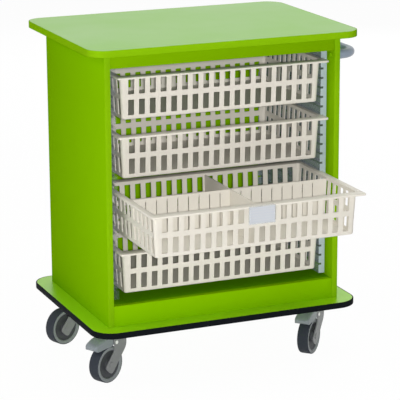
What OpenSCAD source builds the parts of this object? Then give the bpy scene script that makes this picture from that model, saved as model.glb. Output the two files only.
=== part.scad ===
// Bin trolley: a laminated-board cabinet on four swivel casters, with four mesh
// baskets that slide in clear grooved side panels. Millimetres, +Z up, front
// towards -Y. The origin is the bottom centre of the whole trolley's box, with
// the third basket drawn out as it stands.

/* [Baskets] */
// Width of a basket across its rim
basket_w = 600; // [480:10:720]
// Depth of a basket across its rim, front to back
basket_d = 400; // [340:10:480]
// Height of a basket, rim to underside
basket_h = 116.5; // [110:0.5:140]
// Wall and floor thickness of a basket
basket_wall = 2.5; // [2:0.25:4]
// How far each basket wall leans in from rim to floor
basket_draft = 5.8; // [0:0.2:9]
// Outside radius of a basket's upright corners
basket_corner_r = 9; // [7:0.5:16]
// Width of the rim's flange along both sides, which runs in the grooves
flange_side = 14.5; // [13:0.5:18]
// Width of the rim's flange at the front and the back
flange_front = 26.7; // [20:0.1:32]
// Thickness of the rim's flange
flange_t = 2.5; // [2:0.25:4]
// Height of the turned-down lip round the rim
lip_h = 5; // [4.5:0.25:7]
// Thickness of the turned-down lip
lip_t = 2; // [1.5:0.25:3]
// Outside radius of the rim's corners
rim_corner_r = 7; // [5:0.5:14]
// Width of a wall slot
slot_w = 16.5; // [10:0.5:20]
// Height of a wall slot
slot_h = 41.5; // [20:0.5:43]
// Distance from one wall slot to the next
slot_pitch = 30; // [26:0.5:40]
// Distance from the rim's top to the top of the upper slots
slot_drop = 8; // [7:0.5:12]
// Width of the bar between the upper and the lower slots
slot_bar = 14; // [8:0.5:16]
// Least distance from a slot to a corner or to the floor
slot_margin = 9; // [8:0.25:14]
// How far the front of a closed basket stands proud of the cabinet
basket_proud = 8; // [0:1:20]
// How far the third basket is drawn out as the trolley stands
pulled_out = 224; // [0:1:280]

/* [Spaces] */
// Least gap between one basket and the next
basket_gap = 30; // [15:1:60]
// Least gap between the lowest basket and the deck
deck_gap = 20; // [10:1:60]
// Number of empty grooves above the top basket
spare_grooves = 1; // [0:1:4]
// Clear height between the runner panels and the top
runner_headroom = 25.3; // [5:0.1:60]

/* [Dividers and label] */
// Thickness of the two basket dividers
divider_t = 3; // [2:0.5:5]
// How far the dividers' top edges lie below the rim
divider_drop = 4; // [0:0.5:12]
// Gap between a divider and a basket wall, and in the crossed notches
divider_clearance = 0.4; // [0.3:0.1:1]
// Width of the slits that take further dividers
slit_w = 2.5; // [1.5:0.25:4]
// Solid strip above and below a slit
slit_margin = 8; // [5:1:15]
// Width of the label holder
label_w = 75; // [50:1:100]
// Height of the label holder
label_h = 47; // [30:1:60]
// Thickness of the label holder's back
label_back_t = 1.2; // [0.8:0.1:2]
// Depth of the label holder's channel for the card
label_channel = 1.2; // [0.8:0.1:2]
// Thickness of the label holder's front lips and of its hook
label_lip_t = 0.8; // [0.6:0.1:1.5]
// Width of the label holder's rims
label_rim = 3; // [2:0.5:5]
// Thickness of the label card
card_t = 0.4; // [0.2:0.1:0.6]

/* [Cabinet] */
// Thickness of the side panels, deck, plinth, rail and back
panel_t = 16; // [15:1:25]
// Clear space between the runners and the back panel
rear_gap = 13; // [5:1:60]
// Height of the front rail under the top
rail_h = 38; // [24:1:50]
// How far the rail and the plinth stand back from the side panels' front edges
front_inset = 2.5; // [0:0.5:10]
// Height of the deck's upper face above the base
deck_rise = 56; // [40:1:80]
// Thickness of the edge band on the side panels
side_band_t = 2; // [1:0.5:3]

/* [Top and base] */
// Thickness of the top
top_t = 18; // [16:1:30]
// Overhang of the top past the side panels
top_overhang_side = 47.5; // [20:0.5:80]
// Overhang of the top past the cabinet's front
top_overhang_front = 41; // [20:1:80]
// Overhang of the top past the cabinet's back
top_overhang_back = 47; // [10:1:80]
// Corner radius of the top
top_corner_r = 50; // [15:1:100]
// Thickness of the top's edge band
top_band_t = 2; // [1:0.5:3]
// Thickness of the base
base_t = 16; // [15:1:30]
// Overhang of the base past the side panels
base_overhang_side = 48; // [30:1:100]
// Overhang of the base past the cabinet's front and back
base_overhang_ends = 51; // [30:1:100]
// Corner radius of the base
base_corner_r = 60; // [15:1:100]
// Thickness of the bumper band round the base
bumper_t = 3; // [2:0.5:6]

/* [Runner panels] */
// Thickness of a clear runner panel, face to face
runner_t = 17.5; // [15:0.5:30]
// Wall thickness of the hollow runner panel
runner_wall = 2; // [1.5:0.25:3]
// How far the basket rim reaches into a groove
groove_hold = 7; // [5:0.5:9]
// Distance from one groove to the next
groove_pitch = 26; // [22:1:32]
// Height of the first groove's floor above the panel's foot
groove_first = 23.2; // [10:0.1:30]
// Play of a basket's rim in its groove, upwards
groove_play = 0.7; // [0.5:0.1:2]
// Height of the solid strip above the highest groove
groove_head = 10; // [5:1:30]
// Set-back of the runner panels from the cabinet's front
runner_setback = 31; // [20:1:60]
// Height of the runner panels' feet above the deck
runner_foot = 9.5; // [2:0.5:20]
// Length of the spacers between runner panels and side panels
spacer_l = 8.5; // [6:0.5:20]
// Diameter of the spacers
spacer_d = 14; // [10:1:16]
// Distance of the runner screws from the panel's front and back ends
runner_screw_inset = 30; // [15:1:80]
// Number of grooves from one level of runner screws to the next
runner_screw_step = 6; // [4:1:10]

/* [Handle] */
// Diameter of the handle's bar
handle_d = 25; // [20:1:30]
// Length of the handle's straight legs, from the side panel to the bends
handle_leg = 11; // [6:0.5:40]
// Radius of the handle's bends on the bar's axis
handle_bend_r = 50; // [30:1:70]
// Distance of the handle's legs from the cabinet's front and back
handle_inset = 25; // [25:1:120]
// Distance of the handle's axis below the top
handle_drop = 54; // [30:1:120]
// Diameter of the rosettes at the handle's feet
rosette_d = 42; // [34:1:50]
// Thickness of the rosettes
rosette_t = 4; // [3:0.5:8]

/* [Casters] */
// Diameter of a wheel over its tyre
wheel_d = 100; // [80:1:125]
// Height of a caster above its wheel
caster_rise = 46; // [44:1:60]
// Width of a tyre
tyre_w = 32; // [24:1:34]
// Height of a tyre between rim and tread
tyre_h = 8; // [5:0.5:14]
// Distance of the wheel's axle behind the swivel axis
caster_trail = 40; // [34:1:46]
// Distance of the swivel axes from the base's sides
caster_inset_x = 88; // [70:1:140]
// Distance of the swivel axes from the base's front and back
caster_inset_y = 111; // [70:1:140]
// Length of a caster's top plate, sideways
plate_l = 105; // [100:1:120]
// Width of a caster's top plate, front to back
plate_w = 85; // [80:1:100]
// Thickness of a caster's top plate
plate_t = 3; // [2.5:0.5:5]
// Distance between the bolts along the plate
bolt_span_x = 80; // [76:1:84]
// Distance between the bolts across the plate
bolt_span_y = 60; // [56:1:64]
// Diameter of the fork's crown
crown_d = 60; // [56:1:66]
// Thickness of the fork's crown
crown_t = 14; // [10:1:16]
// Number of balls in a swivel
ball_count = 16; // [8:1:18]
// Thickness of a fork's arms
arm_t = 4; // [3:0.5:6]
// Width of a fork's arms
arm_w = 33; // [28:1:36]
// How far a fork's arms run past the axle
arm_end = 20; // [16:1:24]
// Corner radius of the arms' ends
arm_corner_r = 10; // [4:1:13]
// Diameter of the wheel's axle
axle_d = 12; // [8:0.5:14]
// Diameter of the swivel's kingpin
kingpin_d = 12; // [8:0.5:14]
// Diameter of the swivel's balls
ball_d = 5.9; // [4:0.1:6]
// Length of the brake pedals from the swivel axis
pedal_l = 100; // [90:1:110]
// Width of the brake pedals
pedal_w = 42; // [40:1:48]
// Corner radius of the brake pedals' tips
pedal_tip_r = 8; // [4:1:16]
// Diameter of the brake pedals' pins
pedal_pin_d = 6; // [4:0.5:7]
// Turn of the front left caster about its swivel axis
turn_fl = 208; // [180:1:235]
// Turn of the front right caster about its swivel axis
turn_fr = 223; // [180:1:235]
// Turn of the rear left caster about its swivel axis
turn_rl = 202; // [180:1:235]
// Turn of the rear right caster about its swivel axis
turn_rr = 216; // [180:1:235]

/* [Joints and fasteners] */
// Distance of the outer dowels from the ends of a long joint
dowel_inset = 60; // [40:1:100]
// Distance of the dowels from the ends of a short joint
dowel_edge = 12; // [9:1:14]
// Diameter of the wooden dowels
dowel_d = 8; // [6:1:10]
// How deep a dowel sits in each board
dowel_depth = 12; // [8:1:13]
// Diameter of the caster and handle bolts
bolt_d = 8; // [6:1:8]
// How deep the bolts reach into the base and the handle
bolt_depth = 12; // [8:1:13]
// Diameter of the runner screws
screw_d = 4; // [3:0.5:5]
// How deep the runner screws reach into the side panels
screw_depth = 12; // [8:1:13]

/* [Hidden] */
$fn = 48;

// Clearances: round parts in their holes, sliding faces, the end of a blind
// hole, and overcuts
hole_clearance = 0.05;
slide_clearance = 0.3;
blind_clearance = 0.5;
overcut = 1;

// Widths, from the basket out to the cabinet's faces
runner_inner_x = basket_w / 2 - groove_hold;
runner_outer_x = runner_inner_x + runner_t;
inner_x = runner_outer_x + spacer_l;
cabinet_w = 2 * (inner_x + panel_t);
handle_x = cabinet_w / 2 + handle_leg + handle_bend_r;

// Depths: the runner panel is as long as the basket's rim
cabinet_d = runner_setback + basket_d + rear_gap + panel_t;
front_y = -cabinet_d / 2;
runner_front_y = front_y + runner_setback;
inner_front_y = front_y + front_inset;
back_face_y = -front_y - panel_t;
handle_span = cabinet_d - 2 * handle_inset;

// Grooves: as many as the four baskets need, with their gaps
basket_count = 4;
groove_h = lip_h + slide_clearance + groove_play;
groove_depth = groove_hold + 1;
lowest_groove = ceil((basket_h + deck_gap - lip_h - slide_clearance - groove_first
    - runner_foot) / groove_pitch);
basket_step = ceil((basket_h + basket_gap) / groove_pitch);
groove_count = lowest_groove + (basket_count - 1) * basket_step + 1 + spare_grooves;
runner_h = groove_first + (groove_count - 1) * groove_pitch + groove_h + groove_head;
cabinet_h = deck_rise + runner_foot + runner_h + runner_headroom;

// Heights, from the floor up
caster_h = wheel_d + caster_rise;
base_z = caster_h;
carcass_z = base_z + base_t;
deck_z = carcass_z + deck_rise;
top_z = carcass_z + cabinet_h;
runner_z = deck_z + runner_foot;

// Top and base outlines
top_w = cabinet_w + 2 * top_overhang_side;
top_d = cabinet_d + top_overhang_front + top_overhang_back;
top_y = (top_overhang_back - top_overhang_front) / 2;
base_w = cabinet_w + 2 * base_overhang_side;
base_d = cabinet_d + 2 * base_overhang_ends;

// The whole trolley's box, whose bottom centre is the origin; on the left the
// front caster's pedal may reach past the base
caster_x = base_w / 2 - caster_inset_x;
caster_y = base_d / 2 - caster_inset_y;
label_proud = label_back_t + label_channel + label_lip_t;
pedal_reach = (pedal_l - pedal_tip_r) * abs(cos(turn_fl))
    + (pedal_w / 2 - pedal_tip_r) * abs(sin(turn_fl)) + pedal_tip_r;
box_left = min(-base_w / 2, -caster_x - pedal_reach);
box_right = handle_x + handle_d / 2;
box_front = front_y - basket_proud - pulled_out - label_proud;
box_back = max(base_d / 2, top_y + top_d / 2);

// Basket walls, slots and floor, about the basket's own middle
wall_w = basket_w - 2 * flange_side;
wall_d = basket_d - 2 * flange_front;
floor_w = wall_w - 2 * basket_draft;
floor_d = wall_d - 2 * basket_draft;
slot_cols = floor((floor_w - 2 * slot_margin + slot_pitch - slot_w) / slot_pitch);
side_cols = floor((floor_d - 2 * slot_margin + slot_pitch - slot_w) / slot_pitch);
slot_rows = floor((basket_h - slot_drop - slot_margin + slot_bar) / (slot_h + slot_bar));
hull_facets = 32;

// Caster heights and places, about the swivel axis with the trail along +X
corners = [[-1, -1], [1, -1], [-1, 1], [1, 1]];
turns = [turn_fl, turn_fr, turn_rl, turn_rr];
FL = 0;
FR = 1;
RL = 2;
RR = 3;
axle_z = wheel_d / 2;
plate_z = caster_h - plate_t;
race_t = 5;
race_z = plate_z - race_t;
crown_top_z = race_z - ball_d - 2 * hole_clearance;
crown_z = crown_top_z - crown_t;
crown_lead = 20;
crown_rear = 30;
crown_skirt_t = 2;
ball_ring_r = crown_d / 2 - crown_skirt_t - ball_d;
kingpin_head_d = kingpin_d + 8;
kingpin_head_t = 5;
bolt_head_d = bolt_d + 5;
bolt_head_t = 4.5;

// Fork arms beside the wheel: a strip, a little to the lead side of a line
// from the crown's leading edge down to the axle, with a knee behind
hub_half_w = tyre_w / 2 + 1.7;
arm_in_y = hub_half_w + 2 * slide_clearance;
arm_out_y = arm_in_y + arm_t;
arm_offset = 1.5;
arm_knee_x = crown_rear - 5.5;
arm_slope = atan2(crown_z - axle_z, caster_trail + crown_lead);
arm_l = norm([crown_z - axle_z, caster_trail + crown_lead]) + arm_end;

// Brake pedal: its pin under the crown, how far it tilts with what gap then left
// over the tyre, and its tongue's reach below and above the pin
pedal_pin_x = 20;
pedal_pin_z = crown_z - 9;
pedal_boss_r = 7;
pedal_shoe_l = 12;
pedal_shoe_gap = 3.5;
pedal_tilt = 12;
pedal_tilt_gap = 1.4;
pedal_root_x = crown_rear + 3;
pedal_low = 3;
pedal_drop = 8;
pedal_high = 19;

// Dowel places, each a point on a joint line: the first two groups stand
// upright, the others lie along X
side_mid_x = inner_x + panel_t / 2;
long_y = cabinet_d / 2 - dowel_inset;
plinth_y = inner_front_y + panel_t / 2;
back_y = back_face_y + panel_t / 2;
top_dowels = [for (s = [-1, 1], y = [-1, 0, 1]) [s * side_mid_x, y * long_y, top_z]];
base_dowels = [for (s = [-1, 1], y = [-1, 0, 1]) [s * side_mid_x, y * long_y, carcass_z]];
deck_dowels = [for (s = [-1, 1], y = [-1, 0, 1])
    [s * inner_x, y * long_y, deck_z - panel_t / 2]];
back_dowels = [for (s = [-1, 1], z = [carcass_z + dowel_inset, (carcass_z + top_z) / 2,
    top_z - dowel_inset]) [s * inner_x, back_y, z]];
plinth_dowels = [for (s = [-1, 1], z = [carcass_z + dowel_edge, deck_z - dowel_edge])
    [s * inner_x, plinth_y, z]];
rail_dowels = [for (s = [-1, 1]) [s * inner_x, plinth_y, top_z - rail_h / 2]];

// Runner screws: in the middle of the lands between grooves
screw_head_d = 2 * screw_d;
driver_d = screw_head_d + 2;
land_mid = (groove_pitch + groove_h) / 2;
runner_screw_ys = [runner_front_y + runner_screw_inset,
    runner_front_y + basket_d - runner_screw_inset];
runner_screw_zs = [for (i = [1 : runner_screw_step : groove_count - 2])
    runner_z + groove_first + i * groove_pitch + land_mid];
runner_screw_places = [for (y = runner_screw_ys, z = runner_screw_zs) [y, z]];

// Puts the trolley's box over the origin
module placed() {
    translate([-(box_left + box_right) / 2, -(box_front + box_back) / 2, 0]) children();
}

// A flat outline with round corners, centred
module rounded_rect(w, d, r) {
    square([w - 2 * r, d], center = true);
    square([w, d - 2 * r], center = true);
    for (sx = [-1, 1], sy = [-1, 1])
        translate([sx * (w / 2 - r), sy * (d / 2 - r)]) circle(r);
}

// A box from its lowest corner and its size
module block(low, size) {
    translate(low) cube(size);
}

// Upright or lying pegs of one size, centred on the given places
module pegs(places, r, half_l, lying = false) {
    for (p = places)
        translate(p) rotate([0, lying ? 90 : 0, 0])
            cylinder(r = r, h = 2 * half_l, center = true);
}

module dowel_holes(places, lying = false) {
    pegs(places, dowel_d / 2 + hole_clearance, dowel_depth + blind_clearance, lying);
}

// The top, without its edge band
module top_board() {
    color("yellowgreen") placed() difference() {
        translate([0, top_y, top_z]) linear_extrude(top_t)
            rounded_rect(top_w - 2 * top_band_t, top_d - 2 * top_band_t,
                top_corner_r - top_band_t);
        dowel_holes(top_dowels);
    }
}

module top_edging() {
    color("yellowgreen") placed() translate([0, top_y, top_z]) linear_extrude(top_t)
        difference() {
            rounded_rect(top_w, top_d, top_corner_r);
            rounded_rect(top_w - 2 * top_band_t, top_d - 2 * top_band_t,
                top_corner_r - top_band_t);
        }
}

// The base, with blind holes for the dowels above and the caster bolts below
module base_board() {
    color("yellowgreen") placed() difference() {
        translate([0, 0, base_z]) linear_extrude(base_t)
            rounded_rect(base_w - 2 * bumper_t, base_d - 2 * bumper_t,
                base_corner_r - bumper_t);
        dowel_holes(base_dowels);
        for (i = [FL, FR, RL, RR]) at_caster(i)
            pegs(bolt_places(base_z), bolt_d / 2 + hole_clearance,
                bolt_depth + blind_clearance);
    }
}

module base_bumper() {
    color("black") placed() translate([0, 0, base_z]) linear_extrude(base_t)
        difference() {
            rounded_rect(base_w, base_d, base_corner_r);
            rounded_rect(base_w - 2 * bumper_t, base_d - 2 * bumper_t,
                base_corner_r - bumper_t);
        }
}

// A side panel; s is -1 on the left and 1 on the right
module side_panel(s) {
    color("yellowgreen") placed() difference() {
        block([s > 0 ? inner_x : -inner_x - panel_t, front_y + side_band_t, carcass_z],
            [panel_t, cabinet_d - side_band_t, cabinet_h]);
        dowel_holes(top_dowels);
        dowel_holes(base_dowels);
        dowel_holes(concat(plinth_dowels, rail_dowels, deck_dowels, back_dowels), true);
        pegs([for (p = runner_screw_places) [s * inner_x, p[0], p[1]]],
            screw_d / 2 + hole_clearance, screw_depth + blind_clearance, true);
        if (s > 0)
            pegs(handle_feet(inner_x + panel_t / 2), bolt_d / 2 + hole_clearance,
                panel_t / 2 + overcut, true);
    }
}

module side_edging(s) {
    color("yellowgreen") placed()
        block([s > 0 ? inner_x : -inner_x - panel_t, front_y, carcass_z],
            [panel_t, side_band_t, cabinet_h]);
}

module back_panel() {
    color("yellowgreen") placed() difference() {
        block([-inner_x, back_face_y, carcass_z], [2 * inner_x, panel_t, cabinet_h]);
        dowel_holes(back_dowels, true);
    }
}

module deck() {
    deck_front_y = inner_front_y + panel_t;
    color("yellowgreen") placed() difference() {
        block([-inner_x, deck_front_y, deck_z - panel_t],
            [2 * inner_x, back_face_y - deck_front_y, panel_t]);
        dowel_holes(deck_dowels, true);
    }
}

module plinth() {
    color("yellowgreen") placed() difference() {
        block([-inner_x, inner_front_y, carcass_z], [2 * inner_x, panel_t, deck_rise]);
        dowel_holes(plinth_dowels, true);
    }
}

module top_rail() {
    color("yellowgreen") placed() difference() {
        block([-inner_x, inner_front_y, top_z - rail_h], [2 * inner_x, panel_t, rail_h]);
        dowel_holes(rail_dowels, true);
    }
}

module carcass_dowels() {
    color("burlywood") placed() {
        pegs(concat(top_dowels, base_dowels), dowel_d / 2, dowel_depth);
        pegs(concat(plinth_dowels, rail_dowels, deck_dowels, back_dowels),
            dowel_d / 2, dowel_depth, true);
    }
}

// Outline of the hollow grooved panel: X outwards from its inner face, Y up
module runner_outline() {
    land_h = groove_pitch - groove_h;
    difference() {
        square([runner_t, runner_h]);
        for (i = [0 : groove_count - 1]) {
            groove_floor = groove_first + i * groove_pitch;
            translate([-overcut, groove_floor]) square([groove_depth + overcut, groove_h]);
            translate([groove_depth + runner_wall, groove_floor])
                square([runner_t - groove_depth - 2 * runner_wall, groove_h]);
            if (i < groove_count - 1)
                translate([runner_wall, groove_floor + groove_h + runner_wall])
                    square([runner_t - 2 * runner_wall, land_h - 2 * runner_wall]);
        }
    }
}

// A clear panel with a groove at every pitch, a driver hole through its inner
// skin and a screw hole through its outer skin at each fixing
module runner_panel(s) {
    color("azure", 0.4) placed() mirror([s < 0 ? 1 : 0, 0, 0]) difference() {
        translate([runner_inner_x, runner_front_y + basket_d, runner_z])
            rotate([90, 0, 0]) linear_extrude(basket_d) runner_outline();
        for (p = runner_screw_places) {
            translate([runner_inner_x - overcut, p[0], p[1]]) rotate([0, 90, 0])
                cylinder(d = driver_d, h = runner_t / 2);
            translate([runner_inner_x, p[0], p[1]]) rotate([0, 90, 0])
                cylinder(d = screw_d + 2 * hole_clearance, h = runner_t + overcut);
        }
    }
}

module runner_spacers() {
    color("white") placed()
        for (s = [-1, 1], p = runner_screw_places)
            translate([s * (runner_outer_x + spacer_l / 2), p[0], p[1]])
                rotate([0, 90, 0]) difference() {
                    cylinder(d = spacer_d, h = spacer_l, center = true);
                    cylinder(d = screw_d + 2 * hole_clearance,
                        h = spacer_l + 2 * overcut, center = true);
                }
}

module runner_screws() {
    head_t = 2.5;
    skin_x = runner_outer_x - runner_wall;
    color("silver") placed()
        for (s = [-1, 1], p = runner_screw_places)
            mirror([s < 0 ? 1 : 0, 0, 0]) translate([0, p[0], p[1]]) rotate([0, 90, 0]) {
                translate([0, 0, skin_x - head_t]) cylinder(d = screw_head_d, h = head_t);
                translate([0, 0, skin_x - overcut])
                    cylinder(d = screw_d, h = inner_x + screw_depth - skin_x + overcut);
            }
}

// Points where the handle's two legs cross a plane of constant X
function handle_feet(x) = [for (s = [-1, 1]) [x, s * handle_span / 2, top_z - handle_drop]];

// A bow of solid bar: two legs, two quarter bends and the grip
module handle_bar() {
    panel_x = cabinet_w / 2;
    grip_l = handle_span - 2 * handle_bend_r;
    color("lightslategray") placed() difference() {
        translate([panel_x, 0, top_z - handle_drop]) {
            translate([handle_leg + handle_bend_r, grip_l / 2, 0]) rotate([90, 0, 0])
                cylinder(d = handle_d, h = grip_l);
            for (s = [-1, 1]) mirror([0, s < 0 ? 1 : 0, 0]) {
                translate([handle_leg, grip_l / 2, 0]) rotate_extrude(angle = 90)
                    translate([handle_bend_r, 0]) circle(d = handle_d);
                translate([0, handle_span / 2, 0]) rotate([0, 90, 0])
                    cylinder(d = handle_d, h = handle_leg);
            }
        }
        pegs(handle_feet(panel_x), bolt_d / 2 + hole_clearance,
            bolt_depth + blind_clearance, true);
    }
}

module handle_rosettes() {
    color("lightslategray") placed()
        for (p = handle_feet(cabinet_w / 2))
            translate(p) rotate([0, 90, 0]) difference() {
                cylinder(d1 = rosette_d, d2 = rosette_d - rosette_t, h = rosette_t);
                translate([0, 0, -overcut])
                    cylinder(d = handle_d + 2 * hole_clearance, h = rosette_t + 2 * overcut);
            }
}

module handle_bolts() {
    color("silver") placed()
        for (p = handle_feet(inner_x))
            translate(p) rotate([0, 90, 0]) {
                translate([0, 0, -bolt_head_t]) cylinder(d = bolt_head_d, h = bolt_head_t);
                translate([0, 0, -overcut])
                    cylinder(d = bolt_d, h = panel_t + bolt_depth + overcut);
            }
}

// A solid with a basket wall's lean, grown outwards by grow; it runs from
// low above the underside to high above the rim
module basket_body(grow, low, high) {
    lean = basket_draft / basket_h;
    height = basket_h - low + high;
    $fn = hull_facets;
    hull() for (z = [low, basket_h + high - overcut]) {
        spread = 2 * (grow + lean * z);
        translate([0, 0, z]) linear_extrude(overcut)
            rounded_rect(floor_w + spread, floor_d + spread, basket_corner_r + grow);
    }
}

// Slots through two opposite walls, their length along Y
module wall_slots(cols, through) {
    for (i = [0 : cols - 1], j = [0 : slot_rows - 1])
        translate([(i - (cols - 1) / 2) * slot_pitch, 0,
            basket_h - slot_drop - slot_h / 2 - j * (slot_h + slot_bar)])
            cube([slot_w, through, slot_h], center = true);
}

// A basket with slotted walls and a plain floor, about its own middle, underside
// at z = 0
module basket_shape() {
    difference() {
        union() {
            basket_body(0, 0, 0);
            translate([0, 0, basket_h - flange_t]) linear_extrude(flange_t)
                rounded_rect(basket_w, basket_d, rim_corner_r);
            translate([0, 0, basket_h - lip_h]) linear_extrude(lip_h) difference() {
                rounded_rect(basket_w, basket_d, rim_corner_r);
                rounded_rect(basket_w - 2 * lip_t, basket_d - 2 * lip_t,
                    rim_corner_r - lip_t);
            }
        }
        basket_body(-basket_wall, basket_wall, 2 * overcut);
        wall_slots(slot_cols, basket_d);
        rotate([0, 0, 90]) wall_slots(side_cols, basket_w);
    }
}

// Height of a basket's underside; number 1 is the top one
function basket_z(n) = runner_z + groove_first + slide_clearance + lip_h - basket_h
    + groove_pitch * (lowest_groove + (basket_count - n) * basket_step);

// Moves children from a basket's own middle to its place in the cabinet
module at_basket(n) {
    drawn = n == 3 ? pulled_out : 0;
    translate([0, front_y - basket_proud + basket_d / 2 - drawn, basket_z(n)]) children();
}

module basket(n) {
    color("antiquewhite") placed() at_basket(n) basket_shape();
}

// Outline of a plate that fills a basket's section, of the given floor width
module divider_outline(width) {
    lean = basket_draft / basket_h;
    low = basket_wall;
    high = basket_h - divider_drop;
    half = width / 2 - basket_wall - divider_clearance;
    polygon([[-half - lean * low, low], [half + lean * low, low],
        [half + lean * high, high], [-half - lean * high, high]]);
}

// The plate across the basket, with slits for more dividers and a notch from
// above for the lengthwise one
module cross_divider() {
    notch_w = divider_t + 2 * divider_clearance;
    high = basket_h - divider_drop;
    middle = (basket_wall + high) / 2;
    slit_l = high - basket_wall - 2 * slit_margin;
    color("antiquewhite") placed() at_basket(3)
        translate([0, divider_t / 2, 0]) rotate([90, 0, 0]) linear_extrude(divider_t)
            difference() {
                divider_outline(floor_w);
                translate([-notch_w / 2, middle]) square([notch_w, high]);
                for (i = [1 : slot_cols / 2 - 1], s = [-1, 1])
                    translate([s * i * slot_pitch, middle])
                        square([slit_w, slit_l], center = true);
            }
}

// The plate along the basket, notched from below over the cross plate
module length_divider() {
    notch_w = divider_t + 2 * divider_clearance;
    middle = (basket_wall + basket_h - divider_drop) / 2;
    color("antiquewhite") placed() at_basket(3)
        translate([-divider_t / 2, 0, 0]) rotate([90, 0, 90]) linear_extrude(divider_t)
            difference() {
                divider_outline(floor_d);
                translate([-notch_w / 2, -overcut]) square([notch_w, middle + overcut]);
            }
}

// A clear pocket hooked over the rim, its back flat on the turned-down lip
module label_holder() {
    color("white", 0.6) placed() at_basket(3) translate([0, -basket_d / 2, basket_h]) {
        block([-label_w / 2, -label_back_t, -label_h], [label_w, label_back_t, label_h]);
        block([-label_w / 2 + label_rim, -label_back_t, 0],
            [label_w - 2 * label_rim, 2 * label_rim, label_lip_t]);
        difference() {
            block([-label_w / 2, -label_proud, -label_h],
                [label_w, label_proud - label_back_t, label_h]);
            block([-label_w / 2 + label_rim / 2, -label_back_t - label_channel,
                -label_h + label_rim / 2], [label_w - label_rim, label_channel, label_h]);
            block([-label_w / 2 + label_rim, -label_proud - overcut,
                -label_h + label_rim], [label_w - 2 * label_rim, label_proud, label_h]);
        }
    }
}

module label_card() {
    gap = label_rim / 2 + slide_clearance;
    color("white") placed() at_basket(3) translate([0, -basket_d / 2, basket_h])
        block([-label_w / 2 + gap, -label_back_t - card_t, -label_h + label_rim / 2],
            [label_w - 2 * gap, card_t, label_h - label_rim]);
}

// Moves children from a caster's swivel axis to its corner, unturned
module at_caster(i) {
    translate([corners[i][0] * caster_x, corners[i][1] * caster_y, 0]) children();
}

// The same, turned so that +X is the way the wheel trails
module at_fork(i) {
    at_caster(i) rotate([0, 0, turns[i]]) children();
}

// A cylinder along Y about the given X and Z, from one Y to another
module cross_bar(x, z, d, from, to, facets = $fn) {
    translate([x, to, z]) rotate([90, 0, 0]) cylinder(d = d, h = to - from, $fn = facets);
}

function bolt_places(z) = [for (sx = [-1, 1], sy = [-1, 1])
    [sx * bolt_span_x / 2, sy * bolt_span_y / 2, z]];

// The top plate with its pressed ball race, bored for the kingpin
module caster_plate(i) {
    corner_r = 8;
    color("silver") placed() at_caster(i) difference() {
        union() {
            translate([0, 0, plate_z]) linear_extrude(plate_t)
                rounded_rect(plate_l, plate_w, corner_r);
            translate([0, 0, race_z]) cylinder(d = crown_d, h = race_t);
        }
        pegs(bolt_places(plate_z + plate_t / 2), bolt_d / 2 + blind_clearance, plate_t);
        translate([0, 0, race_z - overcut])
            cylinder(d = kingpin_d + 2 * hole_clearance, h = caster_h);
    }
}

module caster_bolts() {
    color("silver") placed()
        for (i = [FL, FR, RL, RR], p = bolt_places(plate_z)) at_caster(i) translate(p) {
            translate([0, 0, -bolt_head_t])
                cylinder(d = bolt_head_d, h = bolt_head_t, $fn = 6);
            translate([0, 0, -overcut])
                cylinder(d = bolt_d, h = plate_t + bolt_depth + overcut);
        }
}

module kingpins() {
    color("silver") placed() for (i = [FL, FR, RL, RR]) at_caster(i) {
        head_top_z = crown_z - slide_clearance;
        translate([0, 0, head_top_z - kingpin_head_t])
            cylinder(d = kingpin_head_d, h = kingpin_head_t);
        translate([0, 0, head_top_z - overcut])
            cylinder(d = kingpin_d, h = caster_h - head_top_z + overcut);
    }
}

module swivel_balls() {
    color("silver") placed() for (i = [FL, FR, RL, RR]) at_caster(i)
        for (k = [0 : ball_count - 1]) rotate([0, 0, k * 360 / ball_count])
            translate([ball_ring_r, 0, (crown_top_z + race_z) / 2]) sphere(d = ball_d);
}

// A point of a fork arm's side view: along its strip from the crown's leading
// edge, and across it towards the rear
function arm_point(along, across) =
    [-crown_lead + along * cos(arm_slope) + across * sin(arm_slope),
    crown_z - along * sin(arm_slope) + across * cos(arm_slope)];

// Side view of a fork arm: a broad strip down past the axle, cut upright at its
// leading edge, and the crown's side above its knee
module arm_outline() {
    rear = arm_w / 2 - arm_offset;
    knee = arm_point((arm_knee_x + crown_lead - rear * sin(arm_slope)) / cos(arm_slope), rear);
    inside = knee + 0.2 * (knee - [crown_rear, crown_z]);
    difference() {
        union() {
            translate([-crown_lead, crown_z]) rotate(-arm_slope)
                translate([arm_l / 2, -arm_offset]) rounded_rect(arm_l, arm_w, arm_corner_r);
            polygon([[-crown_lead - overcut, crown_top_z],
                [-crown_lead - overcut, crown_z - arm_w / 4], inside,
                [crown_rear, crown_z], [crown_rear, crown_top_z]]);
        }
        translate([-crown_lead - arm_w, 0]) square([arm_w, caster_h]);
    }
}

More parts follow.
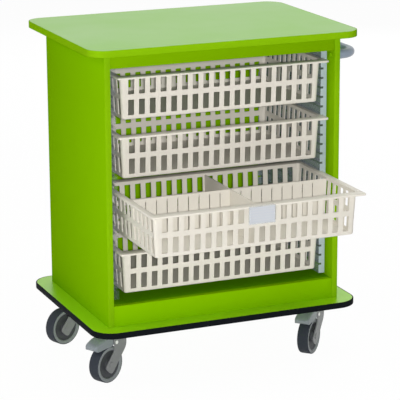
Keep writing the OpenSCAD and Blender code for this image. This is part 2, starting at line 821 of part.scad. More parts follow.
// The swivel fork: a round crown with a skirt round the balls and two arms
module caster_fork(i, braked) {
    color("slategray") placed() at_fork(i) difference() {
        union() {
            translate([0, 0, crown_z]) cylinder(d = crown_d, h = crown_t);
            translate([0, 0, crown_top_z]) difference() {
                skirt_h = race_z - crown_top_z - slide_clearance;
                translate([0, 0, -overcut]) cylinder(d = crown_d, h = skirt_h + overcut);
                cylinder(d = crown_d - 2 * crown_skirt_t, h = skirt_h + overcut);
            }
            block([-crown_lead, -arm_out_y, crown_z],
                [crown_lead + crown_rear, 2 * arm_out_y, crown_t]);
            for (y = [arm_out_y, -arm_in_y])
                translate([0, y, 0]) rotate([90, 0, 0]) linear_extrude(arm_t)
                    arm_outline();
        }
        translate([0, 0, crown_z - overcut])
            cylinder(d = kingpin_d + 2 * hole_clearance, h = crown_t + 2 * overcut);
        cross_bar(caster_trail, axle_z, axle_d + 2 * hole_clearance,
            -arm_out_y - overcut, arm_out_y + overcut);
        if (braked)
            cross_bar(pedal_pin_x, pedal_pin_z, pedal_pin_d + 2 * hole_clearance,
                -arm_out_y - overcut, arm_out_y + overcut);
    }
}

// The wheel's axle, riveted over to a low head on each arm
module caster_axle(i) {
    head_t = 1.5;
    head_d = axle_d + 4;
    color("silver") placed() at_fork(i) {
        cross_bar(caster_trail, axle_z, axle_d, -arm_out_y - overcut, arm_out_y + overcut);
        cross_bar(caster_trail, axle_z, head_d, arm_out_y, arm_out_y + head_t);
        cross_bar(caster_trail, axle_z, head_d, -arm_out_y - head_t, -arm_out_y);
    }
}

// Turns a profile of radius and width about the wheel's axle
module wheel_turned(i) {
    placed() at_fork(i) translate([caster_trail, 0, axle_z]) rotate([90, 0, 0])
        rotate_extrude() children();
}

rim_out_r = wheel_d / 2 - tyre_h;

// The wheel centre: hub, thin web and rim
module wheel(i) {
    bore_r = axle_d / 2 + hole_clearance;
    hub_r = axle_d / 2 + 9;
    rim_in_r = rim_out_r - 5;
    web_half = tyre_w / 2 - 5;
    rim_half = tyre_w / 2 - 2;
    color("gray") wheel_turned(i) {
        translate([bore_r, -hub_half_w]) square([hub_r - bore_r, 2 * hub_half_w]);
        translate([hub_r - overcut, -web_half])
            square([rim_in_r - hub_r + 2 * overcut, 2 * web_half]);
        translate([rim_in_r, -rim_half]) square([rim_out_r - rim_in_r, 2 * rim_half]);
    }
}

// The tyre: a flat tread with sloping shoulders
module tyre(i) {
    shoulder = 3;
    half = tyre_w / 2;
    inside = rim_out_r + hole_clearance;
    outside = wheel_d / 2;
    color("dimgray") wheel_turned(i)
        polygon([[inside, -half], [outside - shoulder, -half], [outside, -half + shoulder],
            [outside, half - shoulder], [outside - shoulder, half], [inside, half]]);
}

// Side view of a brake pedal's tongue: points run out along its underside to
// the tip and back along its sloping top
module pedal_tongue_outline() {
    low = pedal_pin_z - pedal_drop;
    high = pedal_pin_z + pedal_high;
    mid_x = (pedal_root_x + pedal_l) / 2;
    polygon([[pedal_root_x, low], [mid_x, low - 1], [pedal_l - 8, low - 3],
        [pedal_l - 2.5, low + 1], [pedal_l, low + 7], [pedal_l - 2, low + 12],
        [pedal_l - 10, high - 10], [pedal_l - 26, high - 3], [mid_x - 8, high],
        [pedal_root_x, high]]);
}

// The brake pedal: a boss on the pin, a shoe over the tyre and a broad tongue
// whose skirts reach down beside the tyre. The hollow under it clears the tyre
// as the pedal stands and when it is trodden right down.
module brake_pedal(i) {
    neck_half = arm_in_y - 2 * slide_clearance;
    hollow_half = neck_half + overcut;
    swing = pedal_pin_z - axle_z;
    throw = caster_trail - pedal_pin_x;
    color("darkgray") placed() at_fork(i) difference() {
        union() {
            cross_bar(pedal_pin_x, pedal_pin_z, 2 * pedal_boss_r, -neck_half, neck_half);
            block([pedal_pin_x, -neck_half, pedal_pin_z - pedal_low],
                [pedal_root_x + overcut - pedal_pin_x, 2 * neck_half, 3 * pedal_low]);
            block([pedal_pin_x, -neck_half, pedal_pin_z - 2 * pedal_boss_r],
                [pedal_shoe_l, 2 * neck_half, 2 * pedal_boss_r]);
            intersection() {
                translate([0, pedal_w / 2, 0]) rotate([90, 0, 0])
                    linear_extrude(pedal_w) pedal_tongue_outline();
                translate([pedal_l / 2, 0, 0]) linear_extrude(caster_h)
                    rounded_rect(pedal_l, pedal_w, pedal_tip_r);
            }
        }
        cross_bar(pedal_pin_x, pedal_pin_z, pedal_pin_d + 2 * hole_clearance,
            -neck_half - overcut, neck_half + overcut);
        cross_bar(caster_trail, axle_z, wheel_d + 2 * pedal_shoe_gap,
            -hollow_half, hollow_half);
        cross_bar(pedal_pin_x + throw * cos(pedal_tilt) + swing * sin(pedal_tilt),
            pedal_pin_z - swing * cos(pedal_tilt) + throw * sin(pedal_tilt),
            wheel_d + 2 * pedal_tilt_gap, -hollow_half, hollow_half);
    }
}

module pedal_pin(i) {
    head_t = 1.5;
    head_d = pedal_pin_d + 4;
    color("silver") placed() at_fork(i) {
        cross_bar(pedal_pin_x, pedal_pin_z, pedal_pin_d, -arm_out_y - overcut,
            arm_out_y + overcut);
        cross_bar(pedal_pin_x, pedal_pin_z, head_d, arm_out_y, arm_out_y + head_t);
        cross_bar(pedal_pin_x, pedal_pin_z, head_d, -arm_out_y - head_t, -arm_out_y);
    }
}

top_board();
top_edging();
side_panel(-1);  // side_panel_left
side_panel(1);  // side_panel_right
side_edging(-1);  // side_edging_left
side_edging(1);  // side_edging_right
back_panel();
deck();
plinth();
top_rail();
base_board();
base_bumper();
runner_panel(-1);  // runner_panel_left
runner_panel(1);  // runner_panel_right
runner_spacers();
runner_screws();
handle_bar();
handle_rosettes();
handle_bolts();
basket(1);  // basket_1
basket(2);  // basket_2
basket(3);  // basket_3
basket(4);  // basket_4
cross_divider();
length_divider();
label_holder();
label_card();
carcass_dowels();
caster_bolts();
kingpins();
swivel_balls();
caster_plate(FL);  // caster_plate_fl
caster_plate(FR);  // caster_plate_fr
caster_plate(RL);  // caster_plate_rl
caster_plate(RR);  // caster_plate_rr
caster_fork(FL, true);  // caster_fork_fl
caster_fork(FR, true);  // caster_fork_fr
caster_fork(RL, false);  // caster_fork_rl
caster_fork(RR, false);  // caster_fork_rr
caster_axle(FL);  // caster_axle_fl
caster_axle(FR);  // caster_axle_fr
caster_axle(RL);  // caster_axle_rl
caster_axle(RR);  // caster_axle_rr
wheel(FL);  // wheel_fl
wheel(FR);  // wheel_fr
wheel(RL);  // wheel_rl
wheel(RR);  // wheel_rr
tyre(FL);  // tyre_fl
tyre(FR);  // tyre_fr
tyre(RL);  // tyre_rl
tyre(RR);  // tyre_rr
brake_pedal(FL);  // brake_pedal_fl
brake_pedal(FR);  // brake_pedal_fr
pedal_pin(FL);  // pedal_pin_fl
pedal_pin(FR);  // pedal_pin_fr
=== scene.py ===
import bpy
import numpy as np
from mathutils import Matrix, Vector


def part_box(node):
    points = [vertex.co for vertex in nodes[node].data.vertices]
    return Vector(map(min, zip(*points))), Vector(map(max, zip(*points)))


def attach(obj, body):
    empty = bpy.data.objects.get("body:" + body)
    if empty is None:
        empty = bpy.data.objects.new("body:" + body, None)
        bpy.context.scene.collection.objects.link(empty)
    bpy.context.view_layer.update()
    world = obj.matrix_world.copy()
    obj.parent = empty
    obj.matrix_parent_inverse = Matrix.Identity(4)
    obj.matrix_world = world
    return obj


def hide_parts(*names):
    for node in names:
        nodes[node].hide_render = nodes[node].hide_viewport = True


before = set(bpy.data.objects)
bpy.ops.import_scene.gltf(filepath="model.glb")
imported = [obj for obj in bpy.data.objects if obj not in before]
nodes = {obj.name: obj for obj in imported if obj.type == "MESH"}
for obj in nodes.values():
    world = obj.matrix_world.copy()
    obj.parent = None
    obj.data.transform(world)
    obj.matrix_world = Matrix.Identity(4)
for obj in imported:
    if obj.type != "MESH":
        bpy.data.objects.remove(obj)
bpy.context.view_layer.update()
mm = 0.001


# Base board: 16 mm chipboard with a green laminate face, round corners, and the cabinet
# dowelled down onto it. It carries everything, so it comes first.

def round_outline(x0, x1, y0, y1, r, arc=8):
    """Points round a rectangle with round corners, anticlockwise from the front left: each
    corner's centre plus r times (cos a, sin a), with a running on through a quarter turn."""
    a = np.linspace(0, np.pi / 2, arc)
    quarter = [np.pi + a, 1.5 * np.pi + a, a, 0.5 * np.pi + a]
    cx = [x0 + r, x1 - r, x1 - r, x0 + r]
    cy = [y0 + r, y0 + r, y1 - r, y1 - r]
    return np.concatenate([np.stack([cx[k] + r * np.cos(q), cy[k] + r * np.sin(q)], 1)
                           for k, q in enumerate(quarter)])


def grid_quads(rows, cols, close_rows=False, close_cols=True):
    """Four-cornered faces of a grid of points, row after row: (i, j), (i, j+1), (i+1, j+1),
    (i+1, j), with the last row or column joined to the first where the surface closes."""
    i = np.arange(rows if close_rows else rows - 1)
    j = np.arange(cols if close_cols else cols - 1)
    i, j = np.meshgrid(i, j, indexing="ij")
    i2, j2 = (i + 1) % rows, (j + 1) % cols
    corners = (i * cols + j, i * cols + j2, i2 * cols + j2, i2 * cols + j)
    return np.stack(corners, -1).reshape(-1, 4)


def stacked(loops, closed=False):
    """A skin over closed loops of points, each loop joined to the next; the first and last
    loops are filled, or joined to each other where closed is true."""
    loops = np.asarray(loops, float)
    rows, cols = loops.shape[:2]
    faces = grid_quads(rows, cols, close_rows=closed).tolist()
    if not closed:
        faces.append(list(range(cols))[::-1])
        faces.append([(rows - 1) * cols + j for j in range(cols)])
    return loops.reshape(-1, 3), faces


def at_height(xy, z):
    """A level loop: the points of the plane, each with the height z added."""
    return np.column_stack([xy, np.full(len(xy), z)])


def rounded_levels(low, high, edge, steps):
    """Pairs of inset and level up a rounded edge: inset by edge times (1 - sin a) at edge times
    (1 - cos a) above the low face, and the same, downwards, at the high face."""
    a = np.linspace(0, np.pi / 2, steps)
    inwards, rise = edge * (1 - np.sin(a)), edge * (1 - np.cos(a))
    return [*zip(inwards, low + rise), *zip(inwards[::-1], (high - rise)[::-1])]


def slab_loops(outline, low, high, edge):
    """Loops up the edge of a board: its outline, scaled about its middle so that each side is
    drawn in by a quarter round along the bottom and along the top."""
    centre = (outline.min(0) + outline.max(0)) / 2
    half = (outline.max(0) - outline.min(0)) / 2
    return [at_height(centre + (outline - centre) * (half - inwards) / half, z)
            for inwards, z in rounded_levels(low, high, edge, 3)]


def in_scene(name, data):
    """An object that shows this data, linked into the scene."""
    made = bpy.data.objects.new(name, data)
    bpy.context.scene.collection.objects.link(made)
    return made


crease = np.radians(35)


def piece(name, parts, body, material, stands_for=()):
    """A mesh object from parts, each a pair of points and faces. It is shaded smooth across
    edges under the crease angle, but flat on faces of more than four corners, and its normals
    face outwards."""
    points = np.concatenate([np.asarray(p, float) for p, f in parts])
    faces, start = [], 0
    for p, f in parts:
        faces += [[int(v) + start for v in face] for face in f]
        start += len(p)
    mesh = bpy.data.meshes.new(name)
    mesh.from_pydata(points.tolist(), [], faces)
    mesh.update()
    made = in_scene(name, mesh)
    bpy.context.view_layer.objects.active = made
    made.select_set(True)
    bpy.ops.object.mode_set(mode="EDIT")
    bpy.ops.mesh.select_all(action="SELECT")
    bpy.ops.mesh.normals_make_consistent(inside=False)
    bpy.ops.object.mode_set(mode="OBJECT")
    bpy.ops.object.shade_smooth_by_angle(angle=crease)
    made.select_set(False)
    for face in mesh.polygons:
        if len(face.vertices) > 4:
            face.use_smooth = False
    mesh.materials.append(material)
    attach(made, body)
    if stands_for:
        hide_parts(*stands_for)


def fill_in(node, *terms, **values):
    """Fills in a shader node: first its properties, whose names start with a small letter; then
    its input sockets, the first ones with the terms and those named with a capital. A socket
    takes a plain value, or a link from the output that is given."""
    for label, value in values.items():
        if label[0].islower():
            setattr(node, label, value)
    named = {label.replace("_", " "): v for label, v in values.items() if label[0].isupper()}
    for key, value in [*enumerate(terms), *named.items()]:
        if isinstance(value, bpy.types.NodeSocket):
            node.id_data.links.new(value, node.inputs[key])
        else:
            node.inputs[key].default_value = value
    return node


def place(tree, kind, *terms, **values):
    """Adds a shader node of this kind to a tree, and fills it in."""
    return fill_in(tree.nodes.new("ShaderNode" + kind), *terms, **values)


def new_group(name, inputs, outputs):
    """A shader group of plain values: its sockets, with a first value for each input, and its
    input and output nodes."""
    group = bpy.data.node_groups.new(name, "ShaderNodeTree")
    for label, value in inputs.items():
        socket = group.interface.new_socket(label, in_out="INPUT", socket_type="NodeSocketFloat")
        socket.default_value = value
    for label in outputs:
        group.interface.new_socket(label, in_out="OUTPUT", socket_type="NodeSocketFloat")
    return group, group.nodes.new("NodeGroupInput"), group.nodes.new("NodeGroupOutput")


def edge_mask_group():
    """Mask of edges, for worn edges and for painted edge highlights: one minus the cosine
    between the true normal and the normal rounded over the given width, gained up and broken by
    noise."""
    group, start, end = new_group(
        "worn edges", {"Width": 0.002, "Gain": 6.0, "Break Scale": 60.0}, ["Mask"])
    bevel = place(group, "Bevel", samples=4, Radius=start.outputs["Width"])
    true = place(group, "NewGeometry")
    dot = place(group, "VectorMath", bevel.outputs["Normal"], true.outputs["Normal"],
                operation="DOT_PRODUCT")
    away = place(group, "Math", 1.0, dot.outputs["Value"], operation="SUBTRACT")
    gain = place(group, "Math", away.outputs[0], start.outputs["Gain"], operation="MULTIPLY",
                 use_clamp=True)
    spot = place(group, "TexCoord")
    noise = place(group, "TexNoise", Vector=spot.outputs["Object"],
                  Scale=start.outputs["Break Scale"], Detail=4.0, Roughness=0.6)
    step = place(group, "MapRange", Value=noise.outputs["Fac"], From_Min=0.38, From_Max=0.62)
    both = place(group, "Math", gain.outputs[0], step.outputs["Result"], operation="MULTIPLY")
    fill_in(end, Mask=both.outputs[0])
    return group


def skin_group():
    """Height of a pressed or moulded skin: fine noise, plus cells times their share, plus a slow
    swell times 1.5; and the swell alone, as a cloudy value for uneven gloss and shade."""
    group, start, end = new_group(
        "surface skin", {"Scale": 900.0, "Swell": 40.0, "Cells": 0.3}, ["Height", "Cloud"])
    spot = place(group, "TexCoord").outputs["Object"]
    grain = start.outputs["Scale"]
    fine = place(group, "TexNoise", Vector=spot, Scale=grain, Detail=3.0, Roughness=0.5)
    cells = place(group, "TexVoronoi", feature="SMOOTH_F1", Vector=spot, Scale=grain,
                  Smoothness=0.6)
    slow = place(group, "TexNoise", Vector=spot, Scale=start.outputs["Swell"], Detail=2.0,
                 Roughness=0.45)
    mix = place(group, "Math", cells.outputs["Distance"], start.outputs["Cells"],
                fine.outputs["Fac"], operation="MULTIPLY_ADD")
    both = place(group, "Math", slow.outputs["Fac"], 1.5, mix.outputs[0],
                 operation="MULTIPLY_ADD")
    fill_in(end, Height=both.outputs[0], Cloud=slow.outputs["Fac"])
    return group


worn_and_highlit_edges = edge_mask_group()
surface_skin = skin_group()


def new_material(name, **values):
    """A material with its node tree and its Principled BSDF, filled in with the values."""
    made = bpy.data.materials.new(name)
    made.use_nodes = True
    return made, made.node_tree, fill_in(made.node_tree.nodes["Principled BSDF"], **values)


def finish_of(name, colour, rough, grain, depth, worn_colour=None, worn_amount=0.5,
              worn_width=0.002, shade_spread=0.04, metal=0.0, gloss=0.5, coat=0.0,
              swell=40.0, rough_spread=0.08, cells=0.3):
    """A material: base colour shaded by a slow cloud, paler or darker at worn edges, a fine
    bump, and roughness that drifts with the cloud."""
    made, tree, shader = new_material(name, Metallic=metal, Specular_IOR_Level=gloss,
                                      Coat_Weight=coat, Coat_Roughness=0.12)
    skin = place(tree, "Group", node_tree=surface_skin, Scale=grain, Swell=swell, Cells=cells)
    edge = place(tree, "Group", node_tree=worn_and_highlit_edges, Width=worn_width)
    shade = place(tree, "Mix", data_type="RGBA", Factor=skin.outputs["Cloud"],
                  A=(*[c * (1 - shade_spread) for c in colour], 1),
                  B=(*[min(1, c * (1 + shade_spread)) for c in colour], 1))
    part = place(tree, "Math", edge.outputs["Mask"], worn_amount, operation="MULTIPLY")
    worn = place(tree, "Mix", data_type="RGBA", Factor=part.outputs[0],
                 A=shade.outputs["Result"], B=(*(worn_colour or colour), 1))
    drift = place(tree, "MapRange", Value=skin.outputs["Cloud"], From_Min=0.3, From_Max=0.7,
                  To_Min=rough - rough_spread, To_Max=rough + rough_spread)
    bump = place(tree, "Bump", Strength=1.0, Distance=depth, Height=skin.outputs["Height"])
    fill_in(shader, Base_Color=worn.outputs["Result"], Roughness=drift.outputs["Result"],
            Normal=bump.outputs["Normal"])
    return made


def srgb(r, g, b):
    """Linear light from an 8-bit colour: c/12.92 below the knee, else ((c+0.055)/1.055)^2.4."""
    c = np.array([r, g, b]) / 255
    return tuple(float(v) for v in np.where(c <= 0.04045, c / 12.92, ((c + 0.055) / 1.055) ** 2.4))


# The level boards shine more than the upright ones. Their roughness stays above 0.28, since
# below it the denoiser leaves swirls on them.
# Painted light: the base board's green is a paler copy of the laminate, for the light on its level
# face.
base_laminate_painted_light, top_laminate = (
    finish_of(f"glossy green laminate of the {name}", srgb(*colour), rough=0.32, grain=420,
              depth=0.000004, worn_colour=srgb(158, 205, 60), worn_amount=0.4,
              worn_width=0.0012, shade_spread=0.02, swell=6, rough_spread=0.03, cells=0.0,
              gloss=gloss)
    for name, colour, gloss in (("base", (144, 203, 14), 0.6), ("top", (113, 176, 2), 1.0)))
base_r, base_edge, board_arc = 57 * mm, 0.4 * mm, 14
lo, hi = np.array(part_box("base_board"))
base_outline = round_outline(lo[0], hi[0], lo[1], hi[1], base_r, board_arc)
piece("base_board_laminated", [stacked(slab_loops(base_outline, lo[2], hi[2], base_edge))],
      "cabinet", base_laminate_painted_light, ["base_board"])


# Bumper band: 3 mm black soft plastic pressed round the edge of the base board, its outer
# corners rounded so that it doesn't mark door frames.

def band_loops(lo, hi, r, t, edge):
    """Loops round the closed section of an edge band: up the outside with rounded corners, and
    down the inside a thickness t further in."""
    def at(inwards, z):
        return at_height(round_outline(lo[0] + inwards, hi[0] - inwards, lo[1] + inwards,
                                       hi[1] - inwards, r - inwards, board_arc), z)
    outside = [at(inwards, z) for inwards, z in rounded_levels(lo[2], hi[2], edge, 4)]
    return outside + [at(t, hi[2]), at(t, lo[2])]


bumper_black = finish_of("black bumper plastic", srgb(19, 22, 25), rough=0.5, grain=700,
                         depth=0.00005, worn_colour=srgb(50, 54, 55), worn_amount=0.3,
                         shade_spread=0.15, gloss=0.01)
bumper_t, bumper_edge = 3 * mm, 1.4 * mm
lo, hi = np.array(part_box("base_bumper"))
piece("base_bumper_band",
      [stacked(band_loops(lo, hi, base_r + bumper_t, bumper_t, bumper_edge), True)],
      "cabinet", bumper_black, ["base_bumper"])


# Side panels: 16 mm laminated boards that stand on the base, with a 2 mm edge band ironed on
# their front edges. The handle is bolted through the right one.

edge_band = finish_of("green edge band", srgb(122, 169, 9), rough=0.42, grain=500,
                      depth=0.00001, worn_colour=srgb(148, 194, 34), worn_amount=0.3,
                      worn_width=0.0012, gloss=0.0, cells=0.0)
laminate = finish_of("green laminate", srgb(121, 173, 1), rough=0.48, grain=420,
                     depth=0.000006, worn_colour=srgb(150, 200, 30), worn_amount=0.25,
                     worn_width=0.0012, shade_spread=0.02, swell=6, cells=0.0, gloss=0.0)
sawn_edge, band_edge = 0.35 * mm, 0.9 * mm


def boxed(lo, hi, edge=sawn_edge):
    """A sawn board with all its edges broken by a small round."""
    return stacked(slab_loops(round_outline(lo[0], hi[0], lo[1], hi[1], edge, arc=3),
                              lo[2], hi[2], edge))


for side in ("left", "right"):
    lo, hi = np.array(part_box(f"side_panel_{side}"))
    piece(f"side_board_{side}", [boxed(lo, hi)], "cabinet", laminate,
          [f"side_panel_{side}"])
    lo, hi = np.array(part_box(f"side_edging_{side}"))
    piece(f"side_band_{side}", [boxed(lo, hi, band_edge)], "cabinet", edge_band,
          [f"side_edging_{side}"])


# Back, deck, plinth and rail: laminated boards, dowelled between the side panels with beech
# dowels. The rail and the plinth stand back a little from the front edges; the deck and the
# rail have a darker green, painted shade for the deep shade they stand in.

def outfit(node, material):
    """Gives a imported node's own mesh this material in every slot."""
    mesh = nodes[node].data
    mesh.materials.clear()
    mesh.materials.append(material)


# Painted shade: the deck and the rail are darker copies of the green laminate.
deck_laminate_painted_shade, rail_laminate_painted_shade = (
    finish_of(f"{name} laminate", srgb(*colour), rough=0.48, grain=420, depth=0.000006,
              worn_amount=0.0, shade_spread=0.02, swell=6, cells=0.0, gloss=0.0)
    for name, colour in (("deck", (87, 145, 1)), ("rail", (113, 157, 1))))
for node, board in (("back_panel", laminate), ("deck", deck_laminate_painted_shade), ("plinth", laminate),
                    ("top_rail", rail_laminate_painted_shade)):
    lo, hi = np.array(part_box(node))
    piece(f"{node}_board", [boxed(lo, hi)], "cabinet", board, [node])
beech = finish_of("beech dowel", srgb(205, 170, 125), rough=0.6, grain=500, depth=0.0001,
                  shade_spread=0.12, worn_amount=0.0)
outfit("carcass_dowels", beech)


# Top: 18 mm laminated board with round corners and a 2 mm edge band glued round it, both
# milled flush, so only a fine seam shows.

top_r, top_edge, top_band_t, top_band_edge = 48 * mm, 0.3 * mm, 2 * mm, 1.1 * mm
lo, hi = np.array(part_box("top_board"))
top_outline = round_outline(lo[0], hi[0], lo[1], hi[1], top_r, board_arc)
piece("top_laminated", [stacked(slab_loops(top_outline, lo[2], hi[2], top_edge))], "cabinet",
      top_laminate, ["top_board"])
lo, hi = np.array(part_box("top_edging"))
piece("top_edge_band",
      [stacked(band_loops(lo, hi, top_r + top_band_t, top_band_t, top_band_edge), True)],
      "cabinet", edge_band, ["top_edging"])


# Runner panels: clear extruded twin-wall plastic with a groove at every 26 mm. They are held
# off the side panels by white spacers, and screwed through them.

def clear_plastic(name, tint, rough, cover, sawn):
    """Clear plastic seen through: each skin hides what is behind it by the given cover, a little
    more where its drawn surface is thicker, which runs in lines along the extrusion. Its sharp
    edges are paler, a painted highlight where they would catch the light. The ends, where the
    normal points along y, are frosted by the saw and hide by their own share."""
    made, tree, shader = new_material(name, Roughness=rough, Specular_IOR_Level=0.5)
    made.surface_render_method = "BLENDED"
    spot = place(tree, "TexCoord")
    draw = place(tree, "Mapping", Vector=spot.outputs["Object"], Scale=(1, 0.05, 1))
    lines = place(tree, "TexNoise", Vector=draw.outputs["Vector"], Scale=150.0, Detail=1.0)
    bump = place(tree, "Bump", Strength=1.0, Distance=0.000004, Height=lines.outputs["Fac"])
    cloudy = place(tree, "MapRange", Value=lines.outputs["Fac"], From_Min=0.3, From_Max=0.7,
                   To_Min=cover * 0.92, To_Max=cover * 1.08)
    shade = place(tree, "Mix", data_type="RGBA", Factor=lines.outputs["Fac"],
                  A=(*[c * 0.97 for c in tint], 1), B=(*tint, 1))
    edge = place(tree, "Group", node_tree=worn_and_highlit_edges, Width=0.001, Break_Scale=5.0)
    # Painted highlight: the edge mask makes the sharp edges paler, where they would catch the
    # light.
    bright = place(tree, "Mix", data_type="RGBA", Factor=edge.outputs["Mask"],
                   A=shade.outputs["Result"], B=(0.8, 0.84, 0.86, 1))
    facing = place(tree, "NewGeometry")
    axes = place(tree, "SeparateXYZ", facing.outputs["True Normal"])
    along = place(tree, "Math", axes.outputs["Y"], operation="ABSOLUTE")
    end = place(tree, "MapRange", Value=along.outputs[0], From_Min=0.6, From_Max=0.9)
    hides = place(tree, "Mix", data_type="FLOAT", Factor=end.outputs["Result"],
                  A=cloudy.outputs["Result"], B=sawn)
    fill_in(shader, Base_Color=bright.outputs["Result"], Alpha=hides.outputs["Result"],
            Normal=bump.outputs["Normal"])
    return made


white_plastic = finish_of("white spacer plastic", srgb(232, 232, 228), rough=0.4, grain=900,
                          depth=0.00003)
groove_z0, groove_pitch, groove_h, groove_deep, skin_t, grooves = 23.2, 26.0, 6.0, 10.0, 2.0, 24
plate_t, plate_in = 0.5 * mm, 0.1 * mm


def cell_ends(lo, hi, side):
    """Thin plates just inside the front and back mouths of a panel's cells, so that its sawn
    ends read as smooth strips: one for the cell behind each groove, which is cut in from the
    panel's inner face, and one for the cell between each two grooves."""
    plates = []
    for i in range(grooves):
        z0 = lo[2] + (groove_z0 + i * groove_pitch) * mm
        cells = [(groove_deep * mm, z0, z0 + groove_h * mm)]
        if i < grooves - 1:
            cells.append((skin_t * mm, z0 + (groove_h + skin_t) * mm,
                          z0 + (groove_pitch - skin_t) * mm))
        for deep, z1, z2 in cells:
            left, right = (skin_t * mm, deep) if side == "left" else (deep, skin_t * mm)
            x1, x2 = lo[0] + left, hi[0] - right
            for y in (lo[1] + plate_in, hi[1] - plate_in - plate_t):
                square = [[x1, y], [x2, y], [x2, y + plate_t], [x1, y + plate_t]]
                plates.append(stacked([at_height(square, z) for z in (z1, z2)]))
    return plates


# In the photograph the right panel's face and sawn edge catch the light, and the left panel,
# of which only the front edge faces the camera, is nearly clear.
# Painted light: the right panel is the same plastic given more cover and a more opaque sawn edge,
# for the light it catches; the left is left nearly clear.
for side, cover, sawn in (("left", 0.05, 0.06), ("right", 0.25, 0.8)):
    runner_clear = clear_plastic(f"clear runner plastic {side}", srgb(178, 192, 199), rough=0.3,
                                 cover=cover, sawn=sawn)
    outfit(f"runner_panel_{side}", runner_clear)
    lo, hi = np.array(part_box(f"runner_panel_{side}"))
    piece(f"runner_cell_ends_{side}", cell_ends(lo, hi, side), "cabinet", runner_clear)
outfit("runner_spacers", white_plastic)
zinc = finish_of("zinc plated steel", srgb(186, 189, 194), rough=0.3, grain=500, depth=0.00003,
                 metal=1.0, worn_colour=srgb(214, 216, 220), worn_amount=0.4, shade_spread=0.1,
                 swell=160)
for node in ("runner_screws", "caster_bolts", "kingpins", "swivel_balls"):
    outfit(node, zinc)


# Push handle: a bow of bent steel tube, coated blue grey, standing off the right side panel on
# two legs with a turned rosette at each foot; it is bolted from inside the cabinet.

def tube(path, r, sides=28):
    """A round skin along a path of points: centre plus r times (cos a, sin a) in the plane
    across the path's own direction, with the plane's first axis always upright."""
    path = np.asarray(path, float)
    ahead = np.gradient(path, axis=0)
    ahead /= np.linalg.norm(ahead, axis=1, keepdims=True)
    up = np.tile([0.0, 0.0, 1.0], (len(path), 1))
    across = np.cross(ahead, up)
    a = np.linspace(0, 2 * np.pi, sides, endpoint=False)
    ring = up[:, None] * np.cos(a)[None, :, None] + across[:, None] * np.sin(a)[None, :, None]
    return path[:, None] + r * ring


def turned(profile, centre, axis, sides=64):
    """A lathe-turned skin: centre plus height h along the axis plus radius r times the circle
    (cos a, sin a) across it, for each (r, h) of the profile, which closes on itself."""
    axis = np.asarray(axis, float) / np.linalg.norm(axis)
    first = np.cross(axis, [0.0, 0.0, 1.0] if abs(axis[2]) < 0.9 else [1.0, 0.0, 0.0])
    first /= np.linalg.norm(first)
    second = np.cross(axis, first)
    profile = np.asarray(profile, float)
    a = np.linspace(0, 2 * np.pi, sides, endpoint=False)
    ring = np.cos(a)[:, None] * first + np.sin(a)[:, None] * second
    loops = centre + profile[:, 1, None, None] * axis + profile[:, 0, None, None] * ring
    return stacked(loops, True)


coating = finish_of("blue grey coating", srgb(126, 138, 153), rough=0.34, grain=1100,
                    depth=0.00003, worn_colour=srgb(188, 198, 206), worn_amount=0.35, coat=0.15)
lo, hi = np.array(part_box("handle_bar"))
bar_r, bend_r = 12.5 * mm, 50 * mm
foot_x, grip_x = lo[0], hi[0] - bar_r
front_y, rear_y, bar_z = lo[1] + bar_r, hi[1] - bar_r, (lo[2] + hi[2]) / 2
a = np.linspace(0, np.pi / 2, 16)
bend = np.stack([grip_x - bend_r + bend_r * np.sin(a), bend_r * (1 - np.cos(a))], 1)
bow = np.concatenate([[[foot_x, 0]], bend])
front = at_height(bow + [0, front_y], bar_z)
rear = at_height(bow * [1, -1] + [0, rear_y], bar_z)[::-1]
rosette = np.array([[12.55, 0], [21, 0], [21, 1.2], [20.2, 2.6], [18.6, 3.6], [16, 4],
                    [14, 4], [12.55, 3.6]]) * mm
piece("push_handle", [stacked(tube(np.concatenate([front, rear]), bar_r))]
      + [turned(rosette, np.array([foot_x, y, bar_z]), (1, 0, 0)) for y in (front_y, rear_y)],
      "cabinet", coating, ["handle_bar", "handle_rosettes"])
outfit("handle_bolts", laminate)


# Casters: a zinc plated top plate with its ball race, a grey fork of pressed steel that
# swivels on the kingpin, and a wheel of grey plastic with a grey non-marking tyre.

fork_grey = finish_of("grey fork coating", srgb(118, 119, 121), rough=0.38, grain=900,
                      depth=0.00006, worn_colour=srgb(156, 158, 162), shade_spread=0.06,
                      coat=0.1)
wheel_dark = finish_of("dark wheel plastic", srgb(62, 64, 67), rough=0.5, grain=800,
                       depth=0.00004, worn_colour=srgb(100, 102, 104), worn_amount=0.3,
                       shade_spread=0.12, gloss=0.3)
rim_grey = finish_of("grey rim plastic", srgb(126, 130, 133), rough=0.45, grain=800,
                     depth=0.00004, worn_colour=srgb(165, 168, 170), worn_amount=0.3, gloss=0.3)
tyre_grey = finish_of("slate tyre rubber", srgb(48, 52, 59), rough=0.62, grain=1200,
                      depth=0.00006, worn_colour=srgb(92, 96, 102), worn_amount=0.4,
                      worn_width=0.003, shade_spread=0.14, gloss=0.15)
pin_steel = finish_of("bright pin steel", srgb(232, 233, 230), rough=0.35, grain=500,
                      depth=0.00002, worn_amount=0.0, metal=0.3)


def inset(outline, d):
    """A closed outline moved inwards by d along its corners' halved normals."""
    ahead = np.roll(outline, -1, 0) - outline
    ahead /= np.linalg.norm(ahead, axis=1, keepdims=True)
    normal = np.stack([-ahead[:, 1], ahead[:, 0]], 1)
    before = np.roll(normal, 1, 0)
    both = normal + before
    both /= np.maximum((1 + (normal * before).sum(1, keepdims=True)), 0.3)
    return outline + d * both


